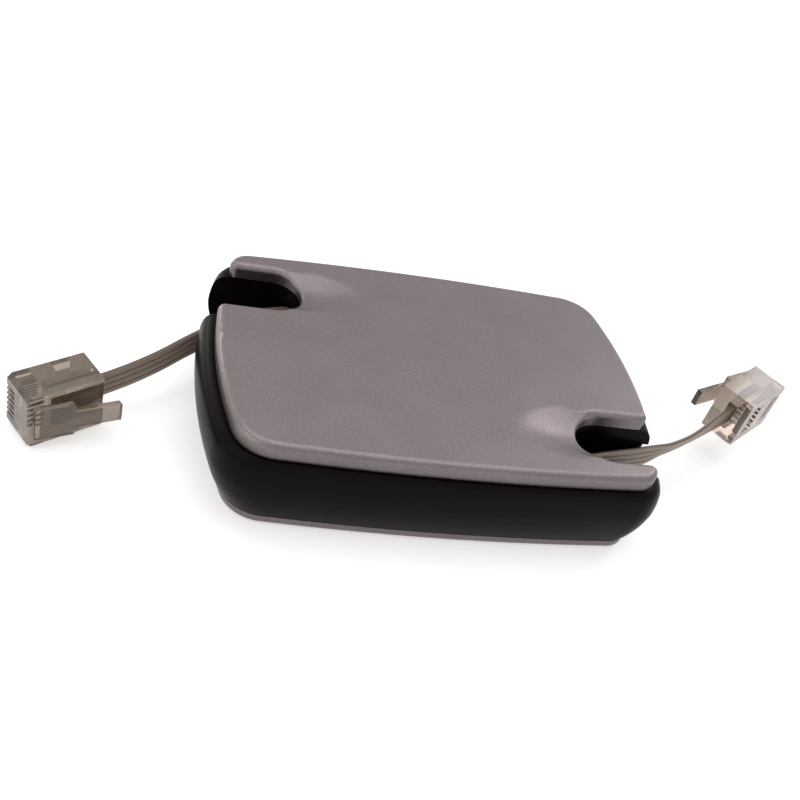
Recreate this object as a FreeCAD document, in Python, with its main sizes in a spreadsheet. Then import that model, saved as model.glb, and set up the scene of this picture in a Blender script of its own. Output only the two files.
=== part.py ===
import FreeCAD, Part
import math
import os

# Retractable telephone cord: a flat housing with a sprung reel, and a clear modular plug on each ribbon end.
# Millimetres. X runs along the housing, Y across it, Z up; the origin is under the middle of the base.

SIZES = {
    # Housing outline: bowed ends and sides with round corners, sharper ones beside the docks
    "cover_length": 72.0,
    "cover_width": 48.3,
    "end_radius": 80.0,
    "end_shift": 1.5,
    "side_radius": 450.0,
    "corner_radius": 7.0,
    "dock_corner_radius": 3.5,
    "body_height": 17.0,
    # Silver covers
    "cover_plate": 1.8,
    "cover_skirt": 2.7,
    "cover_wall": 1.2,
    "cover_edge": 1.1,
    "cover_tip_radius": 1.2,
    "base_plate": 1.5,
    "base_skirt": 2.0,
    "base_edge": 1.3,
    "cover_gap": 0.15,
    "nest_gap": 0.1,
    # Black case halves
    "body_bulge": 1.3,
    "end_bulge": 1.2,
    "bulge_level": 9.5,
    "parting_level": 8.0,
    "ledge_width": 0.5,
    "cavity_inset": 0.9,
    "floor_level": 3.0,
    "roof_thickness": 2.0,
    # Plug docks, one at each end, turned half a turn about Z
    "dock_inner": 8.8,
    "dock_width": 10.4,
    "dock_end": 21.7,
    "dock_floor": 5.0,
    "dock_wall": 1.2,
    "dock_reach": 45.0,
    "gate_width": 6.6,
    "gate_clearance": 0.5,
    "mouth_radius": 2.4,
    "mouth_round_top": 11.2,
    # Scooped thumb recess at each dock's inner end
    "scoop_tip": 13.4,
    "scoop_depth": 1.35,
    "scoop_dish": 3.6,
    "scoop_lip": 0.6,
    # Ribbon
    "ribbon_width": 4.6,
    "ribbon_thickness": 0.8,
    # Reel on its post
    "post_radius": 2.4,
    "post_foot_radius": 4.0,
    "running_gap": 0.05,
    "reel_radius": 20.4,
    "flange_thickness": 1.0,
    "hub_radius": 9.0,
    "hub_wall": 1.0,
    "coil_clearance": 0.4,
    "coil_radius": 18.1,
    "hook_width": 1.2,
    "hook_reach": 0.7,
    # Ball lock
    "track_radius": 13.3,
    "track_width": 2.2,
    "track_depth": 0.6,
    "stop_radius": 1.1,
    "ball_radius": 0.9,
    "ball_headroom": 0.15,
    "guide_length": 4.0,
    "guide_thickness": 1.0,
    "guide_clearance": 0.1,
    # Main spring
    "spring_thickness": 0.3,
    "spring_pitch": 0.9,
    "spring_half_turns": 10,
    # Screws
    "screw_radius": 1.0,
    "screw_head_radius": 1.9,
    "screw_head_height": 1.0,
    "screw_clearance": 0.1,
    "boss_radius": 2.6,
    "boss_inset_x": 6.6,
    "boss_inset_y": 6.95,
    "thread_length": 4.4,
    # Modular plug, with its width along Y and its latch along +Z before it is placed
    "plug_length": 12.3,
    "plug_width": 9.65,
    "plug_height": 6.6,
    "plug_nose_chamfer": 0.7,
    "cord_hole_width": 5.4,
    "cord_hole_height": 1.8,
    "cord_hole_depth": 8.0,
    "latch_width": 6.05,
    "latch_tip_width": 3.25,
    "latch_shoulder": 5.6,
    "latch_root": 10.4,
    "latch_thickness": 1.0,
    "latch_rise": 3.3,
    "latch_overhang": 1.5,
    "contact_pitch": 1.02,
    "contact_thickness": 0.36,
    "contact_length": 2.8,
    "contact_height": 2.4,
    "contact_slot": 0.52,
    "contact_setback": 0.9,
    "relief_length": 3.0,
    "relief_width": 6.0,
    "relief_depth": 1.4,
    "relief_setback": 2.2,
    # Where the plugs lie: middle of the cord end, and heading of the nose
    "left_plug_x": -53.8,
    "left_plug_y": -2.1,
    "left_plug_z": 5.0,
    "left_plug_heading": 213.0,
    "right_plug_x": 57.4,
    "right_plug_y": 1.5,
    "right_plug_z": 11.0,
    "right_plug_heading": 36.0,
}

V = FreeCAD.Vector
UP = V(0, 0, 1)
doc = FreeCAD.newDocument("retractable_telephone_cord")
sheet = doc.addObject("Spreadsheet::Sheet", "sizes")
for row, (alias, number) in enumerate(SIZES.items(), start=1):
    sheet.set(f"A{row}", alias)
    sheet.set(f"B{row}", str(number))
    sheet.setAlias(f"B{row}", alias)
doc.recompute()


def size(formula):
    """Value of a sheet formula, such as 'sizes.cover_length / 2'."""
    return float(sheet.evalExpression(formula))


# Heights that several pieces share
LEDGE = "sizes.body_height - sizes.cover_skirt - sizes.cover_gap"
DECK = "sizes.body_height - sizes.cover_plate"
BASE = "sizes.base_skirt + 0.5 * sizes.cover_gap"
ROOF = f"{DECK} - sizes.roof_thickness"
BALL_STAND = "2 * sizes.ball_radius + sizes.running_gap - sizes.track_depth + sizes.ball_headroom"
REEL_DEPTH = "2 * sizes.flange_thickness + sizes.ribbon_width + sizes.coil_clearance"
REEL_LEVEL = f"{ROOF} - ({BALL_STAND}) - ({REEL_DEPTH})"
WEB_TOP = f"{REEL_LEVEL} + sizes.flange_thickness"
FLANGE_LEVEL = f"{WEB_TOP} + sizes.ribbon_width + sizes.coil_clearance"
FLANGE_TOP = f"{FLANGE_LEVEL} + sizes.flange_thickness"
DOCK_MIDDLE = "sizes.dock_inner + sizes.dock_width / 2"
BORE = "sizes.post_radius + sizes.running_gap"
BOSS_X = "sizes.cover_length / 2 - sizes.boss_inset_x"
BOSS_Y = "sizes.cover_width / 2 - sizes.boss_inset_y"

SIDES = ("left", "right")
pieces = {}


def keep(node, thing):
    thing.Label = node
    pieces[node] = thing
    return thing


def new_body(name):
    return doc.addObject("PartDesign::Body", name)


def origin_plane(body, role):
    return next(item for item in body.Origin.OriginFeatures if item.Role == role)


def sketch_at(body, name, curves, level="0", role="XY_Plane"):
    """Sketch on one of the body's own planes, lifted by level along that plane's normal."""
    sketch = body.newObject("Sketcher::SketchObject", name)
    sketch.AttachmentSupport = [(origin_plane(body, role), "")]
    sketch.MapMode = "FlatFace"
    sketch.setExpression("AttachmentOffset.Base.z", level)
    sketch.addGeometry(curves, False)
    return sketch


def pad(body, name, sketch, length, down=False, both=False):
    feature = body.newObject("PartDesign::Pad", name)
    feature.Profile = sketch
    feature.setExpression("Length", length)
    feature.Reversed = down
    feature.Midplane = both
    return feature


def pocket(body, name, sketch, depth, up=False, both=False):
    feature = body.newObject("PartDesign::Pocket", name)
    feature.Profile = sketch
    feature.setExpression("Length", depth)
    feature.Reversed = up
    feature.Midplane = both
    return feature


def revolve(body, name, points):
    """Turned form about Z from (radius, height) corners."""
    sketch = sketch_at(body, name + "_profile", polygon(points), role="XZ_Plane")
    feature = body.newObject("PartDesign::Revolution", name)
    feature.Profile = sketch
    feature.ReferenceAxis = (sketch, ["V_Axis"])
    feature.Angle = 360
    return feature


def polygon(points):
    corners = [V(x, y, 0) for x, y in points]
    return [Part.LineSegment(a, b) for a, b in zip(corners, corners[1:] + corners[:1])]


def rectangle(x0, y0, x1, y1):
    return polygon([(x0, y0), (x1, y0), (x1, y1), (x0, y1)])


def circle(x, y, radius):
    return Part.Circle(V(x, y, 0), UP, radius)


def half_turned(curves):
    """The curves, and the same ones half a turn about Z."""
    turned = []
    for curve in curves:
        twin = curve.copy()
        twin.rotate(FreeCAD.Placement(V(0, 0, 0), UP, 180))
        turned.append(twin)
    return curves + turned


def arc_about(centre, start, end):
    """Arc about centre, anticlockwise from start to end."""
    first = math.atan2(start.y - centre.y, start.x - centre.x)
    last = math.atan2(end.y - centre.y, end.x - centre.x)
    if last < first:
        last += 2 * math.pi
    return Part.ArcOfCircle(Part.Circle(centre, UP, (start - centre).Length), first, last)


def end_centre(end_extra):
    """Centre of the right end's bow, which lies towards its dock."""
    return V(size("sizes.cover_length / 2 - sizes.end_radius") + end_extra, -size("sizes.end_shift"), 0)


def corner_centre(end, side, radius, sign):
    """Centre of a round corner of the right end, tangent to its bow and to the side at sign Y."""
    reach_end = size("sizes.end_radius") - radius
    reach_side = size("sizes.side_radius") - radius
    span = side - end
    along = (reach_end ** 2 - reach_side ** 2 + span.Length ** 2) / (2 * span.Length)
    across = math.sqrt(reach_end ** 2 - along ** 2)
    direction = V(span).normalize()
    return end + direction * along + V(-direction.y, direction.x, 0) * (sign * across)


def bowed_outline(offset, end_extra=0.0):
    """Closed outline of the housing, moved out by offset, with its ends further out by end_extra."""
    end = end_centre(end_extra)
    back_side = V(0, size("sizes.cover_width / 2 - sizes.side_radius"), 0)
    plain = corner_centre(end, back_side, size("sizes.corner_radius"), 1)
    docked = corner_centre(end, -back_side, size("sizes.dock_corner_radius"), -1)

    def beyond(centre, corner, radius):
        return centre + (corner - centre).normalize() * (size(radius) + offset)

    dock_start = beyond(end, docked, "sizes.end_radius")
    plain_start = beyond(end, plain, "sizes.end_radius")
    side_start = beyond(back_side, plain, "sizes.side_radius")
    side_end = beyond(back_side, -docked, "sizes.side_radius")
    return half_turned([
        arc_about(end, dock_start, plain_start),
        arc_about(plain, plain_start, side_start),
        arc_about(back_side, side_start, side_end),
        arc_about(-docked, side_end, -dock_start),
    ])


def bulge(level):
    """How far the black middle stands out past the covers at a height: at the sides, and more at the ends."""
    fall = (level - size("sizes.bulge_level")) / (size("sizes.bulge_level") - size(BASE))
    share = 1 - fall ** 2
    return size("sizes.body_bulge") * share, size("sizes.end_bulge") * share


def loft(body, name, sections):
    """Loft through housing outlines, each given as (height, offset, end_extra)."""
    sketches = []
    for number, (level, offset, end_extra) in enumerate(sections, start=1):
        sketches.append(sketch_at(body, f"{name}_section_{number}", bowed_outline(offset, end_extra), level))
    feature = body.newObject("PartDesign::AdditiveLoft", name)
    feature.Profile = sketches[0]
    feature.Sections = sketches[1:]
    return feature


def dock_outline(offset):
    """Both docks: a round inner end and straight sides, open past the housing's end."""
    radius = size("sizes.dock_width / 2") + offset
    middle = -size(DOCK_MIDDLE)
    start = size("sizes.dock_end + sizes.dock_width / 2")
    reach = size("sizes.dock_reach")
    top = V(start, middle + radius, 0)
    bottom = V(start, middle - radius, 0)
    far_top = V(reach, middle + radius, 0)
    far_bottom = V(reach, middle - radius, 0)
    return half_turned([
        arc_about(V(start, middle, 0), top, bottom),
        Part.LineSegment(bottom, far_bottom),
        Part.LineSegment(far_bottom, far_top),
        Part.LineSegment(far_top, top),
    ])


def gate_outline():
    """Gap in each dock's inner end, beside the outer wall, where the ribbon comes off the reel."""
    outer = -size("sizes.dock_inner + sizes.dock_width")
    start = size("sizes.dock_end - sizes.dock_wall")
    end = size("sizes.dock_end + sizes.dock_width / 2")
    width = size("sizes.gate_width")
    return half_turned(rectangle(start - size("sizes.dock_wall"), outer, end, outer + width))


def face_of(curves):
    return Part.Face(Part.Wire(Part.__sortEdges__([curve.toShape() for curve in curves])))


def mouth_round_outline():
    """What comes off the inner corner of each dock's mouth, so that the ribbon runs out over a round edge."""
    radius = size("sizes.mouth_radius")
    inner = -size("sizes.dock_inner")
    bow = size("sizes.end_radius + sizes.body_bulge")
    end = end_centre(size("sizes.end_bulge"))
    tip = end.x + math.sqrt(bow ** 2 - (inner - end.y) ** 2)
    reach = size("sizes.dock_reach")
    on_wall = V(tip - radius, inner, 0)
    on_end = V(tip, inner + radius, 0)
    return half_turned([
        arc_about(V(tip - radius, inner + radius, 0), on_wall, on_end),
        Part.LineSegment(on_end, V(reach, inner + radius, 0)),
        Part.LineSegment(V(reach, inner + radius, 0), V(reach, inner, 0)),
        Part.LineSegment(V(reach, inner, 0), on_wall),
    ])


def beside_docks(inset, wall):
    """The housing's outline moved in by inset, less the docks with a wall round them."""
    region = face_of(bowed_outline(-inset))
    docks = dock_outline(wall)
    half = len(docks) // 2
    for dock in (docks[:half], docks[half:]):
        region = region.cut(face_of(dock))
    curves = []
    for edge in region.Edges:
        curve = edge.Curve
        if isinstance(curve, Part.Circle):
            curves.append(Part.ArcOfCircle(curve, edge.FirstParameter, edge.LastParameter))
        else:
            ends = edge.valueAt(edge.FirstParameter), edge.valueAt(edge.LastParameter)
            curves.append(Part.LineSegment(*ends))
    return curves


def cavity_outline():
    """Inside of the case wall, less the dock trays, which stay standing."""
    return beside_docks(size("sizes.cavity_inset"), size("sizes.dock_wall"))


def boss_circles(radius):
    return half_turned([circle(size(BOSS_X), size(BOSS_Y), radius)])


def edges_at(level, tolerance=0.01):
    """Names the edges of a feature that lie flat at a height."""
    def pick(feature):
        names = []
        for number, edge in enumerate(feature.Shape.Edges, start=1):
            box = edge.BoundBox
            if abs(box.ZMin - level) < tolerance and abs(box.ZMax - level) < tolerance:
                names.append(f"Edge{number}")
        return names
    return pick


def dished_edges(low, high, tolerance=0.01):
    """Names the free-form edges of a feature between two heights."""
    def pick(feature):
        names = []
        for number, edge in enumerate(feature.Shape.Edges, start=1):
            box = edge.BoundBox
            if (isinstance(edge.Curve, Part.BSplineCurve) and box.ZMin > low - tolerance
                    and box.ZMax < high + tolerance):
                names.append(f"Edge{number}")
        return names
    return pick


def upright_edges(feature, tolerance=0.01):
    """Names of a feature's upright edges at which two of its walls meet at a corner."""
    names = []
    for number, edge in enumerate(feature.Shape.Edges, start=1):
        box = edge.BoundBox
        if box.XLength < tolerance and box.YLength < tolerance:
            faces = feature.Shape.ancestorsOfType(edge, Part.Face)
            point = edge.valueAt(edge.FirstParameter)
            normals = [face.normalAt(*face.Surface.parameter(point)) for face in faces]
            if abs(normals[0].dot(normals[1])) < math.cos(math.radians(10)):
                names.append(f"Edge{number}")
    return names


def round_edges(body, name, feature, pick, radius):
    """Round the edges of a feature that pick names."""
    doc.recompute()
    fillet = body.newObject("PartDesign::Fillet", name)
    fillet.Base = (feature, pick(feature))
    fillet.setExpression("Radius", radius)
    return fillet


# Silver top cover: a shallow tray turned over, cut for the docks and scooped at their inner ends
def make_top_cover():
    body = new_body("top_cover")
    skirt = sketch_at(body, "skirt_outline", bowed_outline(0), f"{LEDGE} + sizes.cover_gap")
    pad(body, "shell", skirt, "sizes.cover_skirt")
    docks = sketch_at(body, "dock_cut_outline", dock_outline(0), "sizes.body_height")
    cut = pocket(body, "dock_cuts", docks, "sizes.body_height")
    tips = round_edges(body, "tip_corners", cut, upright_edges, "sizes.cover_tip_radius")
    round_edges(body, "top_edge", tips, edges_at(size("sizes.body_height")), "sizes.cover_edge")
    wall = size("sizes.cover_wall")
    inside = sketch_at(body, "inside_outline", beside_docks(wall, wall), DECK)
    pocket(body, "inside", inside, "sizes.cover_skirt")
    # The dish that forms a scoop is centred above the cover, so its rim meets the top at a slope
    above = size("sizes.scoop_dish - sizes.scoop_depth")
    rim_share = math.sqrt(1 - (above / size("sizes.scoop_dish")) ** 2)
    scoop_end = size("sizes.dock_end + sizes.dock_width / 4")
    for name, turn in (("right_scoop", 0), ("left_scoop", 180)):
        scoop = body.newObject("PartDesign::SubtractiveEllipsoid", name)
        scoop.setExpression("Radius1", "sizes.scoop_dish")
        scoop.Radius2 = (scoop_end - size("sizes.scoop_tip")) / rim_share
        scoop.Radius3 = size("sizes.dock_width / 2") / rim_share
        place = FreeCAD.Placement(V(0, 0, 0), UP, turn)
        centre = V(scoop_end, -size(DOCK_MIDDLE), size("sizes.body_height") + above)
        scoop.Placement = place.multiply(FreeCAD.Placement(centre, FreeCAD.Rotation()))
    lips = dished_edges(size(DECK), size("sizes.body_height - sizes.cover_edge"))
    round_edges(body, "scoop_lips", scoop, lips, "sizes.scoop_lip")
    keep("top_cover", body)


# Silver base cover: the same outline, with a rounded lower edge
def make_bottom_cover():
    body = new_body("bottom_cover")
    outline = sketch_at(body, "base_outline", bowed_outline(0))
    shell = pad(body, "shell", outline, "sizes.base_skirt")
    round_edges(body, "lower_edge", shell, edges_at(0), "sizes.base_edge")
    inside = sketch_at(body, "inside_outline", bowed_outline(-size("sizes.cover_wall")), "sizes.base_plate")
    pocket(body, "inside", inside, "sizes.base_skirt", up=True)
    keep("bottom_cover", body)


# Black lower half: floor, post, dock trays, gates and screw bosses
def make_lower_case():
    body = new_body("lower_case")
    levels = [BASE, f"({BASE} + sizes.parting_level) / 2", "sizes.parting_level"]
    loft(body, "bulged_wall", [(level, *bulge(size(level))) for level in levels])
    nest = bowed_outline(-size("sizes.cover_wall + sizes.nest_gap"))
    pad(body, "nest", sketch_at(body, "nest_outline", nest, "sizes.base_plate"),
        "sizes.floor_level - sizes.base_plate")
    pocket(body, "cavity", sketch_at(body, "cavity_plan", cavity_outline(), "sizes.parting_level"),
           "sizes.parting_level - sizes.floor_level")
    pocket(body, "docks", sketch_at(body, "dock_plan", dock_outline(0), "sizes.parting_level"),
           "sizes.parting_level - sizes.dock_floor")
    pocket(body, "gates", sketch_at(body, "gate_plan", gate_outline(), "sizes.parting_level"),
           f"sizes.parting_level - ({WEB_TOP} - sizes.gate_clearance)")
    pocket(body, "mouth_rounds", sketch_at(body, "mouth_plan", mouth_round_outline(), "sizes.parting_level"),
           "sizes.parting_level - sizes.dock_floor")
    foot = circle(0, 0, size("sizes.post_foot_radius"))
    pad(body, "post_foot", sketch_at(body, "foot_plan", [foot], "sizes.floor_level"),
        f"{REEL_LEVEL} - sizes.running_gap - sizes.floor_level")
    post = circle(0, 0, size("sizes.post_radius"))
    pad(body, "post", sketch_at(body, "post_plan", [post], "sizes.floor_level"),
        f"{ROOF} - sizes.floor_level")
    bosses = boss_circles(size("sizes.boss_radius"))
    pad(body, "bosses", sketch_at(body, "boss_plan", bosses, "sizes.floor_level"),
        "sizes.parting_level - sizes.floor_level")
    thread = circle(0, 0, size("sizes.screw_radius + sizes.screw_clearance"))
    pocket(body, "post_hole", sketch_at(body, "post_hole_plan", [thread], ROOF),
           "sizes.thread_length + sizes.screw_clearance")
    shanks = boss_circles(size("sizes.screw_radius + sizes.screw_clearance"))
    pocket(body, "shank_holes", sketch_at(body, "shank_plan", shanks, "sizes.parting_level"),
           "sizes.parting_level - sizes.base_plate")
    heads = boss_circles(size("sizes.screw_head_radius + sizes.screw_clearance"))
    pocket(body, "head_holes", sketch_at(body, "head_plan", heads, "sizes.base_plate"),
           "sizes.screw_head_height + sizes.screw_clearance", up=True)
    keep("lower_case", body)


# Black upper half: shoulder and deck under the top cover, docks, gates, bosses and ball guide
def make_upper_case():
    body = new_body("upper_case")
    sections = [("sizes.parting_level", *bulge(size("sizes.parting_level")))]
    # The wall turns in to the ledge through a quarter of an ellipse
    for degrees in (0, 30, 60, 90):
        rise = math.sin(math.radians(degrees))
        share = math.cos(math.radians(degrees))
        ledge = size("sizes.ledge_width")
        sections.append((f"sizes.bulge_level + {rise} * ({LEDGE} - sizes.bulge_level)",
                         ledge + share * (size("sizes.body_bulge") - ledge), share * size("sizes.end_bulge")))
    loft(body, "bulged_wall", sections)
    nest = size("sizes.cover_wall + sizes.nest_gap")
    pad(body, "deck", sketch_at(body, "deck_outline", beside_docks(nest, nest), DECK), f"{DECK} - ({LEDGE})",
        down=True)
    pocket(body, "cavity", sketch_at(body, "cavity_plan", cavity_outline(), "sizes.parting_level"),
           f"{ROOF} - sizes.parting_level", up=True)
    pocket(body, "docks", sketch_at(body, "dock_plan", dock_outline(0), "sizes.body_height"),
           "sizes.body_height")
    pocket(body, "gates", sketch_at(body, "gate_plan", gate_outline(), "sizes.parting_level"),
           f"{WEB_TOP} + sizes.ribbon_width + sizes.gate_clearance - sizes.parting_level", up=True)
    pocket(body, "mouth_rounds", sketch_at(body, "mouth_plan", mouth_round_outline(), "sizes.parting_level"),
           "sizes.mouth_round_top - sizes.parting_level", up=True)
    pad(body, "bosses", sketch_at(body, "boss_plan", boss_circles(size("sizes.boss_radius")), ROOF),
        f"{ROOF} - sizes.parting_level", down=True)
    # Two ribs leave the ball free to move along the reel's radius only
    inner = size("sizes.ball_radius + sizes.guide_clearance")
    outer = inner + size("sizes.guide_thickness")
    start = size("sizes.track_radius - sizes.guide_length / 2")
    end = start + size("sizes.guide_length")
    ribs = rectangle(start, inner, end, outer) + rectangle(start, -outer, end, -inner)
    pad(body, "ball_guide", sketch_at(body, "guide_plan", ribs, ROOF),
        f"{ROOF} - ({FLANGE_TOP}) - sizes.coil_clearance", down=True)
    threads = boss_circles(size("sizes.screw_radius + sizes.screw_clearance"))
    pocket(body, "boss_holes", sketch_at(body, "thread_plan", threads, "sizes.parting_level"),
           "sizes.thread_length + sizes.screw_clearance", up=True)
    shank = circle(0, 0, size("sizes.screw_radius + sizes.screw_clearance"))
    pocket(body, "centre_hole", sketch_at(body, "centre_plan", [shank], DECK), "sizes.body_height / 2")
    head = circle(0, 0, size("sizes.screw_head_radius + sizes.screw_clearance"))
    pocket(body, "centre_head_hole", sketch_at(body, "centre_head_plan", [head], DECK),
           "sizes.screw_head_height + sizes.screw_clearance")
    keep("upper_case", body)


# Reel: hub with the spring inside it, and the flange that the ribbon lies on
def make_reel():
    body = new_body("reel")
    bore = size(BORE)
    rim = size("sizes.reel_radius")
    hub = size("sizes.hub_radius")
    inside = hub - size("sizes.hub_wall")
    bottom = size(REEL_LEVEL)
    web = size(WEB_TOP)
    top = size(FLANGE_LEVEL)
    revolve(body, "turned", [(bore, bottom), (rim, bottom), (rim, web), (hub, web),
                             (hub, top), (inside, top), (inside, web), (bore, web)])
    # Slits in the hub: the cord's middle passes through both, the spring hooks in one
    half = size("sizes.hook_width / 2")
    slits = rectangle(-hub - half, -half, hub + half, half)
    pocket(body, "hub_slits", sketch_at(body, "slit_plan", slits, FLANGE_LEVEL),
           f"{FLANGE_LEVEL} - ({WEB_TOP})")
    keep("reel", body)


# Upper flange: a disc with the ball's circular groove and its stop pockets
def make_reel_flange():
    body = new_body("reel_flange")
    bore = size(BORE)
    rim = size("sizes.reel_radius")
    low = size(FLANGE_LEVEL)
    high = size(FLANGE_TOP)
    floor = high - size("sizes.track_depth")
    inner = size("sizes.track_radius - sizes.track_width / 2")
    outer = size("sizes.track_radius + sizes.track_width / 2")
    disc = revolve(body, "turned", [(bore, low), (rim, low), (rim, high), (outer, high),
                                    (outer, floor), (inner, floor), (inner, high), (bore, high)])
    stop = pocket(body, "stop_pocket",
                  sketch_at(body, "stop_plan", [circle(outer, 0, size("sizes.stop_radius"))], FLANGE_TOP),
                  "sizes.track_depth")
    doc.recompute()
    stops = body.newObject("PartDesign::PolarPattern", "stop_pockets")
    stops.Originals = [stop]
    stops.Axis = (disc.Profile[0], ["V_Axis"])
    stops.Occurrences = 3
    body.Tip = stops
    keep("reel_flange", body)


# Wound ribbon: its turns as one ring between the flanges
def make_wound_cord():
    ring = doc.addObject("Part::Cylinder", "coil_outside")
    ring.setExpression("Radius", "sizes.coil_radius")
    ring.setExpression("Height", "sizes.ribbon_width")
    core = doc.addObject("Part::Cylinder", "coil_inside")
    core.setExpression("Radius", "sizes.hub_radius + sizes.running_gap")
    core.setExpression("Height", "sizes.ribbon_width")
    coil = doc.addObject("Part::Cut", "wound_cord")
    coil.Base = ring
    coil.Tool = core
    coil.setExpression("Placement.Base.z", WEB_TOP)
    keep("wound_cord", coil)


# Main spring: a flat spiral of half turns about two centres, half a pitch apart
def make_main_spring():
    body = new_body("main_spring")
    thickness = size("sizes.spring_thickness")
    step = size("sizes.spring_pitch / 2")
    first = size("sizes.post_radius") + step
    inner_side = []
    outer_side = []
    for number in range(int(size("sizes.spring_half_turns"))):
        centre = V(step / 2 if number % 2 else -step / 2, 0, 0)
        half = math.pi * (number % 2)
        for side, extra in ((inner_side, 0), (outer_side, thickness)):
            ring = Part.Circle(centre, UP, first + step * number + extra)
            side.append(Part.ArcOfCircle(ring, half, half + math.pi))
    ends = [Part.LineSegment(inner_side[0].StartPoint, outer_side[0].StartPoint)]
    # The outer end turns out into the hub's slit
    tail_end = size("sizes.hub_radius - sizes.hub_wall + sizes.hook_reach")
    tail = [inner_side[-1].EndPoint, V(inner_side[-1].EndPoint.x, thickness, 0), V(tail_end, thickness, 0),
            V(tail_end, 0, 0), outer_side[-1].EndPoint]
    ends += [Part.LineSegment(a, b) for a, b in zip(tail, tail[1:])]
    strip = sketch_at(body, "strip_plan", inner_side + outer_side + ends, WEB_TOP)
    pad(body, "strip", strip, "sizes.ribbon_width")
    keep("main_spring", body)


# Lock ball, lying in the groove of the upper flange
def make_lock_ball():
    ball = doc.addObject("Part::Sphere", "lock_ball")
    ball.setExpression("Radius", "sizes.ball_radius")
    ball.setExpression("Placement.Base.x", "sizes.track_radius")
    ball.setExpression("Placement.Base.z",
                       f"{FLANGE_TOP} - sizes.track_depth + sizes.ball_radius + sizes.running_gap")
    keep("lock_ball", ball)


def make_screw(name, tip, under_head):
    """Pan-head screw along Z, from its tip to the seat under its head."""
    body = new_body(name)
    shank = size("sizes.screw_radius")
    head = size("sizes.screw_head_radius")
    crown = under_head + math.copysign(size("sizes.screw_head_height"), under_head - tip)
    revolve(body, "turned", [(0, tip), (shank, tip), (shank, under_head), (head, under_head),
                             (head, crown), (0, crown)])
    return body


def make_screws():
    seat = size(f"{DECK} - sizes.screw_head_height - sizes.screw_clearance")
    keep("centre_screw", make_screw("centre_screw", size(f"{ROOF} - sizes.thread_length"), seat))
    group = doc.addObject("Part::Compound", "case_screws")
    seat = size("sizes.base_plate + sizes.screw_head_height + sizes.screw_clearance")
    for sign in (1, -1):
        screw = make_screw(f"case_screw_{'back' if sign > 0 else 'front'}",
                           size("sizes.parting_level + sizes.thread_length"), seat)
        screw.setExpression("Placement.Base.x", f"{sign} * ({BOSS_X})")
        screw.setExpression("Placement.Base.y", f"{sign} * ({BOSS_Y})")
        group.Links = group.Links + [screw]
    keep("case_screws", group)


# Where a plug lies: on its side, latch towards the housing's middle line when it is laid in its dock
def plug_place(side):
    middle = V(*(size(f"sizes.{side}_plug_{axis}") for axis in "xyz"))
    heading = FreeCAD.Rotation(UP, size(f"sizes.{side}_plug_heading"))
    on_side = FreeCAD.Rotation(V(1, 0, 0), -90)
    return FreeCAD.Placement(middle, heading.multiply(on_side))


# Clear plug: cord hole, contact slots, strain relief and a sprung latch in one moulding
def make_plug(side):
    body = new_body(f"{side}_plug")
    length = size("sizes.plug_length")
    half_width = size("sizes.plug_width / 2")
    half_height = size("sizes.plug_height / 2")
    nip = size("sizes.plug_nose_chamfer")
    plan = polygon([(0, -half_width), (length - nip, -half_width), (length, nip - half_width),
                    (length, half_width - nip), (length - nip, half_width), (0, half_width)])
    pad(body, "block", sketch_at(body, "block_plan", plan), "sizes.plug_height", both=True)
    # Latch: wide at its root near the nose, narrow past its shoulder, rising towards the cord
    rise = half_height + size("sizes.latch_rise")
    tip = -size("sizes.latch_overhang")
    thick = size("sizes.latch_thickness")
    shoulder = size("sizes.latch_shoulder")
    root = size("sizes.latch_root")
    slope = (rise - thick - half_height) / (root - tip)
    under = half_height + slope * (root - shoulder)
    front = root + thick
    wide = polygon([(front, half_height), (front, half_height + thick - slope * thick),
                    (shoulder, under + thick), (shoulder, under), (root, half_height)])
    narrow = polygon([(shoulder, under + thick), (tip, rise), (tip, rise - thick), (shoulder, under)])
    pad(body, "latch", sketch_at(body, "latch_side", wide, role="XZ_Plane"), "sizes.latch_width", both=True)
    pad(body, "latch_tab", sketch_at(body, "latch_tab_side", narrow, role="XZ_Plane"),
        "sizes.latch_tip_width", both=True)
    # Cord hole from the cord end
    half = size("sizes.cord_hole_width / 2")
    hole = rectangle(0, -half, size("sizes.cord_hole_depth"), half)
    pocket(body, "cord_hole", sketch_at(body, "cord_hole_plan", hole), "sizes.cord_hole_height", both=True)
    # Six contact slots, open at the nose, with the four blades in the middle ones
    half = size("sizes.contact_slot / 2")
    pitch = size("sizes.contact_pitch")
    start = length - size("sizes.contact_setback + sizes.contact_length")
    slots = []
    for number in range(6):
        middle = (number - 2.5) * pitch
        slots += rectangle(start, middle - half, length, middle + half)
    pocket(body, "contact_slots", sketch_at(body, "slot_plan", slots, "-sizes.plug_height / 2"),
           "sizes.contact_height", up=True)
    # Strain relief window on the contact side
    half = size("sizes.relief_width / 2")
    window_start = size("sizes.relief_setback")
    window = rectangle(window_start, -half, window_start + size("sizes.relief_length"), half)
    pocket(body, "relief", sketch_at(body, "relief_plan", window, "-sizes.plug_height / 2"),
           "sizes.relief_depth", up=True)
    body.Placement = plug_place(side)
    keep(f"{side}_plug", body)


def make_contacts(side):
    place = plug_place(side)
    for number in range(4):
        blade = doc.addObject("Part::Box", f"{side}_contact_{number + 1}")
        blade.setExpression("Length", "sizes.contact_length - sizes.running_gap")
        blade.setExpression("Width", "sizes.contact_thickness")
        blade.setExpression("Height", "sizes.contact_height - sizes.contact_setback")
        corner = V(
            size("sizes.plug_length - sizes.contact_setback - sizes.contact_length + sizes.running_gap"),
            (number - 1.5) * size("sizes.contact_pitch") - size("sizes.contact_thickness / 2"),
            size("sizes.contact_setback - sizes.running_gap - sizes.plug_height / 2"),
        )
        blade.Placement = place.multiply(FreeCAD.Placement(corner, FreeCAD.Rotation()))
        keep(f"{side}_contact_{number + 1}", blade)


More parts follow.
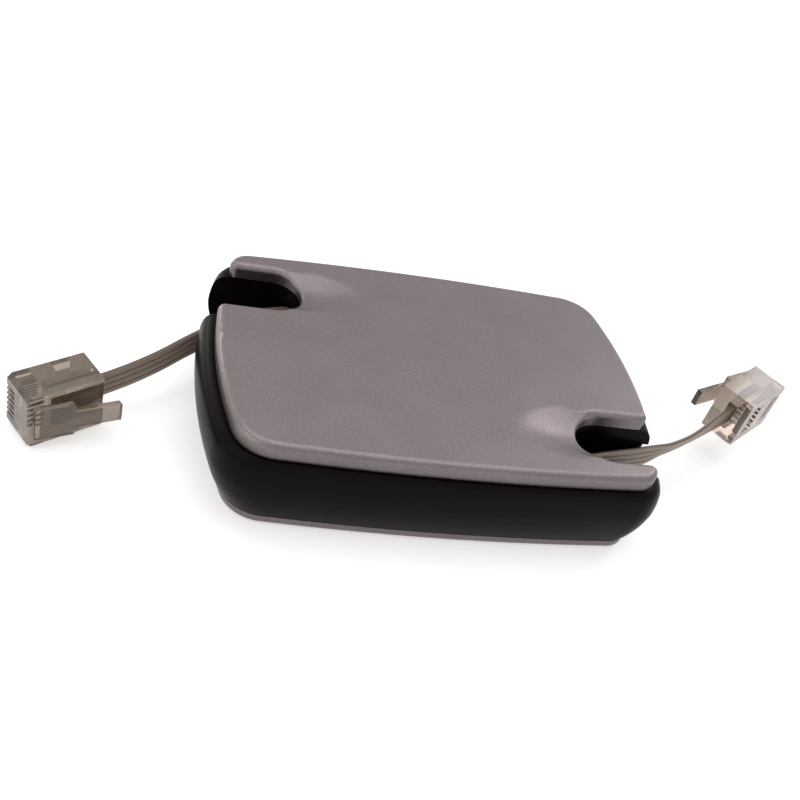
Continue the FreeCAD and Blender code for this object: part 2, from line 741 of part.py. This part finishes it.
# Ribbon routes from the reel, through the gate, to the plug; their middle line
COIL_MIDDLE = size(f"{WEB_TOP} + sizes.ribbon_width / 2")
LEAD_ROUTES = {
    "left": [(-8.0, 18.5, COIL_MIDDLE), (-16.0, 18.65, COIL_MIDDLE), (-24.0, 18.4, 8.0), (-31.4, 14.9, 7.7),
             (-38.4, 9.4, 7.35), (-45.2, 3.3, 6.2), (-53.38, -1.83, 5.0)],
    "right": [(8.47, -16.93, COIL_MIDDLE), (16.22, -14.95, COIL_MIDDLE), (24.0, -12.75, 8.2),
              (31.0, -10.75, 8.4), (37.5, -9.4, 8.7), (43.8, -6.75, 9.05), (48.6, -4.2, 9.4),
              (56.19, 0.62, 11.0)],
}
RIBBON_END = 7.5


def rounded_path(points):
    """Straight runs joined by tangent arcs as large as the runs allow."""
    edges = []
    radii = []
    start = points[0]
    for before, corner, after in zip(points, points[1:], points[2:]):
        incoming = (corner - before).normalize()
        outgoing = (after - corner).normalize()
        turn = incoming.getAngle(outgoing)
        reach = 0.45 * min((corner - before).Length, (after - corner).Length)
        radius = reach / math.tan(turn / 2)
        radii.append(radius)
        arc_start = corner - incoming * reach
        arc_end = corner + outgoing * reach
        towards = (outgoing - incoming).normalize()
        middle = corner + towards * (radius / math.cos(turn / 2) - radius)
        edges.append(Part.LineSegment(start, arc_start).toShape())
        edges.append(Part.Arc(arc_start, middle, arc_end).toShape())
        start = arc_end
    edges.append(Part.LineSegment(start, points[-1]).toShape())
    return Part.Wire(edges), radii


def make_lead(side):
    nose = plug_place(side).Rotation.multVec(V(1, 0, 0))
    mouth = plug_place(side).Base
    points = [V(*point) for point in LEAD_ROUTES[side]] + [mouth + nose * RIBBON_END]
    path, radii = rounded_path(points)
    print(f"{side}_lead", "length", round(path.Length, 2), "radii", [round(radius, 1) for radius in radii])
    heading = (points[1] - points[0]).normalize()
    half_thick = UP.cross(heading) * size("sizes.ribbon_thickness / 2")
    half_wide = UP * size("sizes.ribbon_width / 2")
    corners = [points[0] + half_thick * a + half_wide * b for a, b in ((1, 1), (-1, 1), (-1, -1), (1, -1))]
    section = Part.makePolygon(corners + corners[:1])
    sweep = Part.BRepOffsetAPI.MakePipeShell(path)
    sweep.setBiNormalMode(UP)
    sweep.add(section)
    sweep.build()
    sweep.makeSolid()
    lead = doc.addObject("Part::Feature", f"{side}_lead")
    lead.Shape = sweep.shape()
    area = size("sizes.ribbon_thickness * sizes.ribbon_width")
    print(f"{side}_lead", "volume", round(lead.Shape.Volume, 2),
          "section times length", round(area * path.Length, 2))
    keep(f"{side}_lead", lead)


make_top_cover()
make_bottom_cover()
make_lower_case()
make_upper_case()
make_reel()
make_reel_flange()
make_wound_cord()
make_main_spring()
make_lock_ball()
make_screws()
for side in SIDES:
    make_plug(side)
    make_contacts(side)
    make_lead(side)
doc.recompute()

for item in doc.Objects:
    if "Invalid" in item.State or "Error" in item.State:
        raise RuntimeError(f"{item.Name} failed: {item.State}")
for node, piece in pieces.items():
    if piece.Shape.isNull() or not piece.Shape.isValid():
        raise RuntimeError(f"{node} has no valid shape")

os.makedirs("parts", exist_ok=True)
for node, piece in pieces.items():
    piece.Shape.exportStep(f"parts/{node}.step")
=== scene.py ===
import math
import bpy
from mathutils import Matrix, Vector


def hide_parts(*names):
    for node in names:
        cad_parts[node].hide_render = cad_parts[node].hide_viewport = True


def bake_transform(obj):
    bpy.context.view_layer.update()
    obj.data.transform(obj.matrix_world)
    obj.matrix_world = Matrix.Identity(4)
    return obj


# Retractable telephone cord: silver covers on a black case, a clear plug on each end of a flat ribbon.
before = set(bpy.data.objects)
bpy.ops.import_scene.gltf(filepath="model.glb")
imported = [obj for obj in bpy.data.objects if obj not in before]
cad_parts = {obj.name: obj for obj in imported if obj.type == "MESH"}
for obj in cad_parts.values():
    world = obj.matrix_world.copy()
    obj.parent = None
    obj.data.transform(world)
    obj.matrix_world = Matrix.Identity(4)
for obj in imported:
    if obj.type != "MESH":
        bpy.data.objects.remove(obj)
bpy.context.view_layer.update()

MM = 0.001
UP = Vector((0, 0, 1))


class Socket:
    """An output socket of a finish. Arithmetic on it adds Math nodes beside it."""

    def __init__(self, tree, output=None):
        self.tree = tree
        self.output = output

    def node(self, kind, settings=None, sockets=None, out=0):
        """Add a node: its settings first, then the values or links of its sockets."""
        made = self.tree.nodes.new(kind)
        for name, value in (settings or {}).items():
            setattr(made, name, value)
        for name, value in (sockets or {}).items():
            if isinstance(value, Socket):
                self.tree.links.new(value.output, made.inputs[name])
            else:
                made.inputs[name].default_value = value
        return Socket(self.tree, made.outputs[out])

    def math(self, operation, *operands):
        return self.node("ShaderNodeMath", {"operation": operation}, dict(enumerate(operands)))

    def __add__(self, other):
        return self.math("ADD", self, other)

    def __sub__(self, other):
        return self.math("SUBTRACT", self, other)

    def __rsub__(self, other):
        return self.math("SUBTRACT", other, self)

    def __mul__(self, other):
        return self.math("MULTIPLY", self, other)

    __radd__ = __add__
    __rmul__ = __mul__

    def between(self, low, high):
        """Smooth step from 0 at low to 1 at high."""
        return self.node("ShaderNodeMapRange", {"interpolation_type": "SMOOTHSTEP"},
                         {"Value": self, "From Min": low, "From Max": high})

    def mix(self, dark, light):
        """Colour between dark, where this is 0, and light, where this is 1."""
        return self.node("ShaderNodeMix", {"data_type": "RGBA"}, {0: self, 6: dark, 7: light}, out=2)

    def noise(self, grain, detail=2.0, roughness=0.5):
        """Noise with grains of about that size in metres, on these coordinates."""
        return self.node("ShaderNodeTexNoise", None,
                         {"Vector": self, "Scale": 1.0 / grain, "Detail": detail, "Roughness": roughness})

    def bump(self, depth):
        """Surface normal raised by this height, 0 to 1 standing for depth in metres."""
        return self.node("ShaderNodeBump", None, {"Height": self, "Strength": 1.0, "Distance": depth})


def rgb(red, green, blue):
    return (red, green, blue, 1.0)


def split(place):
    """The three coordinates of a place or direction."""
    parts = place.node("ShaderNodeSeparateXYZ", None, {0: place}).output.node.outputs
    return [Socket(place.tree, part) for part in parts]


def new_finish(name):
    """A finish with the coordinates of the surface that it is on."""
    material = bpy.data.materials.new(name)
    material.use_nodes = True
    start = Socket(material.node_tree)
    return material, start.node("ShaderNodeTexCoord", out=3)


def set_shader(material, **sockets):
    """Set or link the sockets of a finish's shader, named with underscores for spaces."""
    shader = material.node_tree.nodes["Principled BSDF"]
    for name, value in sockets.items():
        socket = shader.inputs[name.replace("_", " ")]
        if isinstance(value, Socket):
            material.node_tree.links.new(value.output, socket)
        else:
            socket.default_value = value
    return material


# Thumb scoops: middle, half length and half width of the rim, slope and lip at the rim, and as shares of the
# half length and width, how wide the rim is eased and where this fades out towards the dock
SCOOP_MIDDLE = (24.3 * MM, -14.0 * MM)
SCOOP_REACH = (10.9 * MM, 5.2 * MM)
SCOOP_SLOPE = 3.5 * MM
SCOOP_LIP = 0.6 * MM
RIM_SOFTNESS = 0.3
RIM_FADE = (-0.45, -0.15)


def scoop_rims(place):
    """Height that eases the rim of each scoop into the top of the cover."""
    along, across, _ = split(place)
    height = 0.0
    for turn in (1, -1):
        x = (turn * along - SCOOP_MIDDLE[0]) * (1 / SCOOP_REACH[0])
        y = (turn * across - SCOOP_MIDDLE[1]) * (1 / SCOOP_REACH[1])
        out = place.math("SQRT", x * x + y * y)
        # Half width of the rounded lip that the solid has along the rim, where the easing has no crease
        steepness = x * x * SCOOP_REACH[0] ** -2 + y * y * SCOOP_REACH[1] ** -2
        lip = steepness * (SCOOP_LIP * SCOOP_SLOPE / 2)
        off_rim = place.math("ABSOLUTE", out - 1)
        on_lip = place.math("MINIMUM", off_rim, lip)
        off_rim = off_rim - on_lip + place.math("DIVIDE", on_lip * on_lip, 2 * lip) + 0.5 * lip
        near = place.math("MAXIMUM", RIM_SOFTNESS - off_rim, 0.0)
        height = height + near * near * (1 - x.between(*RIM_FADE))
    return height * (-SCOOP_SLOPE / (4 * RIM_SOFTNESS))


def silver_paint(name, scooped):
    material, place = new_finish(name)
    grain = place.noise(0.34 * MM, detail=4.0, roughness=0.75)
    cloud = place.noise(9 * MM)
    shade = (0.85 * grain + 0.15 * cloud).between(0.3, 0.7)
    height = grain * (0.008 * MM)
    if scooped:
        height = height + scoop_rims(place)
    return set_shader(
        material,
        Base_Color=shade.mix(rgb(0.148, 0.127, 0.128), rgb(0.22, 0.189, 0.191)),
        Metallic=0.9,
        Roughness=0.31 + 0.14 * grain,
        Normal=height.bump(1.0),
    )


def black_plastic():
    material, place = new_finish("black_plastic")
    texture = place.noise(0.22 * MM, detail=3.0, roughness=0.6)
    cloud = place.noise(6 * MM)
    return set_shader(
        material,
        Base_Color=cloud.mix(rgb(0.0028, 0.0019, 0.0018), rgb(0.0045, 0.0031, 0.0029)),
        Roughness=0.26 + 0.12 * texture,
        Normal=texture.bump(0.005 * MM),
        Specular_IOR_Level=0.05,
    )


def clear_plastic():
    material, place = new_finish("clear_plastic")
    haze = place.noise(1.6 * MM, detail=3.0)
    return set_shader(
        material,
        Base_Color=haze.mix(rgb(0.31, 0.25, 0.2), rgb(0.43, 0.355, 0.295)),
        Roughness=0.04 + 0.12 * haze,
        Transmission_Weight=0.84,
        Specular_IOR_Level=0.25,
        IOR=1.5,
    )


def gold_plate():
    material, place = new_finish("gold_plate")
    wipe = place.noise(0.3 * MM)
    return set_shader(
        material,
        Base_Color=wipe.mix(rgb(0.62, 0.38, 0.08), rgb(0.90, 0.62, 0.18)),
        Metallic=1.0,
        Roughness=0.18 + 0.14 * wipe,
    )


def ribbon_jacket():
    material, place = new_finish("ribbon_jacket")
    wire_height = place.node("ShaderNodeAttribute", {"attribute_name": "wire_height"}, out=2)
    mottle = place.noise(1.2 * MM, detail=3.0)
    return set_shader(
        material,
        # Painted shade: the colour darkens from the crown of each wire down into the grooves between the wires
        Base_Color=wire_height.between(0.25, 0.75).mix(rgb(0.07, 0.052, 0.04), rgb(0.325, 0.25, 0.203)),
        Roughness=0.32 + 0.16 * mottle,
        Normal=mottle.bump(0.01 * MM),
    )


def natural_plastic():
    material, place = new_finish("natural_plastic")
    flow = place.noise(4 * MM, detail=3.0)
    return set_shader(
        material,
        Base_Color=flow.mix(rgb(0.66, 0.65, 0.60), rgb(0.78, 0.77, 0.72)),
        Roughness=0.35 + 0.1 * flow,
    )


def plated_steel(name, dark, light, roughness):
    material, place = new_finish(name)
    drawn = place.noise(0.25 * MM, detail=2.0)
    return set_shader(
        material,
        Base_Color=drawn.mix(dark, light),
        Metallic=1.0,
        Roughness=roughness + 0.12 * drawn,
        Normal=drawn.bump(0.003 * MM),
    )


def dress(material, *nodes):
    for node in nodes:
        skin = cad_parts[node].data.materials
        skin.clear()
        skin.append(material)


SIDES = ("left", "right")
CONTACTS = {side: [f"{side}_contact_{number}" for number in (1, 2, 3, 4)] for side in SIDES}

dress(silver_paint("scooped_silver", True), "top_cover")
dress(silver_paint("base_silver", False), "bottom_cover")
dress(black_plastic(), "upper_case", "lower_case")
dress(clear_plastic(), "left_plug", "right_plug")
dress(gold_plate(), *CONTACTS["left"], *CONTACTS["right"])
dress(natural_plastic(), "reel", "reel_flange")
jacket = ribbon_jacket()
dress(jacket, "wound_cord")
dress(plated_steel("spring_steel", rgb(0.20, 0.20, 0.23), rgb(0.32, 0.32, 0.35), 0.22), "main_spring")
dress(plated_steel("ball_steel", rgb(0.60, 0.60, 0.62), rgb(0.72, 0.72, 0.74), 0.05), "lock_ball")
dress(plated_steel("screw_zinc", rgb(0.42, 0.42, 0.43), rgb(0.55, 0.55, 0.57), 0.25), "centre_screw", "case_screws")

# Ribbons: four wires side by side, on edge, from the reel through the gate to the plug
RIBBON_WIDTH = 4.6 * MM
RIBBON_THICKNESS = 0.8 * MM
WIRES = 4
WIRE_STEPS = 10
WIRE_OVERLAP = 1.07
ROUTE_STEPS = 16
RIBBON_ROUTES = {
    "left": [(-8.0, 18.5, 8.1), (-16.0, 18.65, 8.1), (-24.0, 18.4, 8.0), (-31.4, 14.9, 7.7), (-38.4, 9.4, 7.35),
             (-45.2, 3.3, 6.2), (-53.38, -1.83, 5.0), (-60.09, -6.18, 5.0)],
    "right": [(8.47, -16.93, 8.1), (16.22, -14.95, 8.1), (24.0, -12.75, 8.2), (31.0, -10.75, 8.4), (37.5, -9.4, 8.7),
              (43.8, -6.75, 9.05), (48.6, -4.2, 9.4), (56.19, 0.62, 11.0), (63.47, 5.91, 11.0)],
}
RIBBON_LEANS = {"left": 0.0, "right": math.radians(20)}
LEAN_STARTS = (0.5, 0.64)
LEAN_ENDS = (0.74, 0.97)


def metres(point):
    return Vector(point) * MM


def smooth_line(points, steps):
    """Points along the smooth curve that these points steer."""
    curve = bpy.data.curves.new("route", "CURVE")
    curve.dimensions = "3D"
    curve.resolution_u = steps
    spline = curve.splines.new("NURBS")
    spline.points.add(len(points) - 1)
    for place, point in zip(spline.points, points):
        place.co = (*point, 1.0)
    spline.order_u = 3
    spline.use_endpoint_u = True
    carrier = bpy.data.objects.new("route", curve)
    mesh = bpy.data.meshes.new_from_object(carrier)
    line = [vertex.co.copy() for vertex in mesh.vertices]
    bpy.data.meshes.remove(mesh)
    bpy.data.objects.remove(carrier)
    bpy.data.curves.remove(curve)
    return line


def wire_section():
    """Outline of the ribbon: (across, out, height of the wire there from 0 to 1), all round."""
    pitch = RIBBON_WIDTH / WIRES
    half_thick = RIBBON_THICKNESS / 2
    reach = math.degrees(math.asin(1 / WIRE_OVERLAP))
    face = []
    for wire in range(WIRES):
        middle = (wire - (WIRES - 1) / 2) * pitch
        for step in range(WIRE_STEPS + 1):
            angle = math.radians(-reach + 2 * reach * step / WIRE_STEPS)
            face.append((middle + pitch / 2 * WIRE_OVERLAP * math.sin(angle), half_thick * math.cos(angle)))
    rim = [(across, out, out / half_thick) for across, out in face]
    return rim + [(across, -out, height) for across, out, height in reversed(rim)]


def smooth_step(value, low, high):
    share = min(max((value - low) / (high - low), 0.0), 1.0)
    return share * share * (3 - 2 * share)


def make_ribbon(side):
    line = smooth_line([metres(point) for point in RIBBON_ROUTES[side]], ROUTE_STEPS)
    section = wire_section()
    vertices = []
    for number, centre in enumerate(line):
        ahead = line[min(number + 1, len(line) - 1)] - line[max(number - 1, 0)]
        share = number / (len(line) - 1)
        lean = RIBBON_LEANS[side] * smooth_step(share, *LEAN_STARTS) * (1 - smooth_step(share, *LEAN_ENDS))
        turn = Matrix.Rotation(lean, 3, ahead)
        out = turn @ UP.cross(ahead).normalized()
        across = ahead.cross(out).normalized()
        vertices += [centre + across * width + out * depth for width, depth, height in section]
    ring = len(section)
    faces = []
    for row in range(len(line) - 1):
        for column in range(ring):
            beside = (column + 1) % ring
            this_row, next_row = row * ring, (row + 1) * ring
            faces.append((this_row + column, this_row + beside, next_row + beside, next_row + column))
    faces.append(tuple(range(ring)))
    faces.append(tuple(reversed(range(len(vertices) - ring, len(vertices)))))
    mesh = bpy.data.meshes.new(f"{side}_ribbon")
    mesh.from_pydata(vertices, [], faces)
    mesh.update()
    mesh.polygons.foreach_set("use_smooth", [True] * len(mesh.polygons))
    # Height across each wire, which the jacket's colour uses to paint shade into the grooves between the wires
    heights = mesh.attributes.new("wire_height", "FLOAT", "POINT")
    heights.data.foreach_set("value", [height for width, depth, height in section] * len(line))
    mesh.materials.append(jacket)
    ribbon = bpy.data.objects.new(f"{side}_ribbon", mesh)
    bpy.context.scene.collection.objects.link(ribbon)
    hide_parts(f"{side}_lead")
    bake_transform(ribbon)


for side in SIDES:
    make_ribbon(side)


def seen_rays(tree):
    """1 for what is seen straight, mirrored or through clear plastic, and 0 for light on its way."""
    ways = tree.nodes.new("ShaderNodeLightPath")
    kinds = [Socket(tree, ways.outputs[f"Is {kind} Ray"]) for kind in ("Camera", "Glossy", "Transmission")]
    seen = sum(kinds)
    return seen.math("MINIMUM", seen, 1.0)


FLOOR_REACH = 4.0
FLOOR_FADE = (0.2, 0.9)


def add_floor():
    """A pale floor that is seen as white, a little more so far off, and keeps the object's shadow."""
    material, place = new_finish("floor_white")
    speck = place.noise(40 * MM)
    seen = seen_rays(material.node_tree)
    distance = place.node("ShaderNodeVectorMath", {"operation": "LENGTH"}, {0: place}, out=1)
    glow = distance.between(*FLOOR_FADE).mix(rgb(0.45, 0.45, 0.45), rgb(0.66, 0.66, 0.66))
    set_shader(material, Base_Color=speck.mix(rgb(0.86, 0.86, 0.86), rgb(0.88, 0.88, 0.88)), Roughness=0.9,
               Specular_IOR_Level=0.0, Emission_Color=seen.mix(rgb(0, 0, 0), glow),
               Emission_Strength=1.0)
    corners = [(x * FLOOR_REACH, y * FLOOR_REACH, 0) for x, y in ((-1, -1), (1, -1), (1, 1), (-1, 1))]
    mesh = bpy.data.meshes.new("floor")
    mesh.from_pydata(corners, [], [(0, 1, 2, 3)])
    mesh.materials.append(material)
    floor = bpy.data.objects.new("floor", mesh)
    bpy.context.scene.collection.objects.link(floor)


def add_lamp(name, place, width, height, watts, tint):
    """A flat lamp that faces the middle of the housing, seen in its gloss but not by the camera."""
    lamp = bpy.data.lights.new(name, "AREA")
    lamp.shape = "RECTANGLE"
    lamp.size = width
    lamp.size_y = height
    lamp.energy = watts
    lamp.color = tint
    holder = bpy.data.objects.new(name, lamp)
    holder.location = place
    holder.rotation_euler = (-Vector(place)).to_track_quat("-Z", "Y").to_euler()
    holder.visible_camera = False
    bpy.context.scene.collection.objects.link(holder)


ROOM_LEVEL = 0.45
# Lamps: place, width and height in metres, watts and tint
LAMPS = {
    "overhead_softbox": ((0.05, 0.1, 0.8), 1.0, 0.8, 3.0, (1, 1, 1)),
    "warm_window": ((-0.41, 0.52, 0.21), 0.2, 0.3, 0.7, (1.0, 0.95, 0.86)),
    "warm_fill": ((-0.55, -0.2, 0.3), 0.6, 0.5, 1.0, (1.0, 0.94, 0.86)),
    "cool_window": ((0.46, 0.33, 0.41), 0.24, 0.24, 0.7, (0.95, 0.92, 1.0)),
}


def light_studio():
    """White all round where it is seen and softer where it lights, with the lamps."""
    world = bpy.data.worlds.new("studio")
    world.use_nodes = True
    bpy.context.scene.world = world
    level = seen_rays(world.node_tree) * (1 - ROOM_LEVEL) + ROOM_LEVEL
    world.node_tree.links.new(level.output, world.node_tree.nodes["Background"].inputs["Strength"])
    world.node_tree.nodes["Background"].inputs["Color"].default_value = rgb(1, 1, 1)
    for name, lamp in LAMPS.items():
        add_lamp(name, *lamp)


SENSOR_WIDTH_MM = 36.0
FOCAL_LENGTH_MM = 47.45
NEAREST_SEEN = 0.005
CAMERA_PLACE = (-0.0496, -0.1288, 0.1215)
CAMERA_RIGHT = (0.9611, -0.1204, 0.2484)
CAMERA_UP = (-0.1027, 0.6793, 0.7266)


def add_camera():
    """The photograph's view, turned by its right, up and back directions."""
    lens = bpy.data.cameras.new("view")
    lens.sensor_width = SENSOR_WIDTH_MM
    lens.lens = FOCAL_LENGTH_MM
    lens.clip_start = NEAREST_SEEN
    right = Vector(CAMERA_RIGHT)
    up = Vector(CAMERA_UP)
    back = right.cross(up).normalized()
    up = back.cross(right).normalized()
    turn = Matrix((right.normalized(), up, back)).transposed().to_4x4()
    camera = bpy.data.objects.new("view", lens)
    camera.matrix_world = Matrix.Translation(CAMERA_PLACE) @ turn
    bpy.context.scene.collection.objects.link(camera)
    bpy.context.scene.camera = camera


add_floor()
light_studio()
add_camera()
bpy.context.scene.view_settings.view_transform = "Standard"
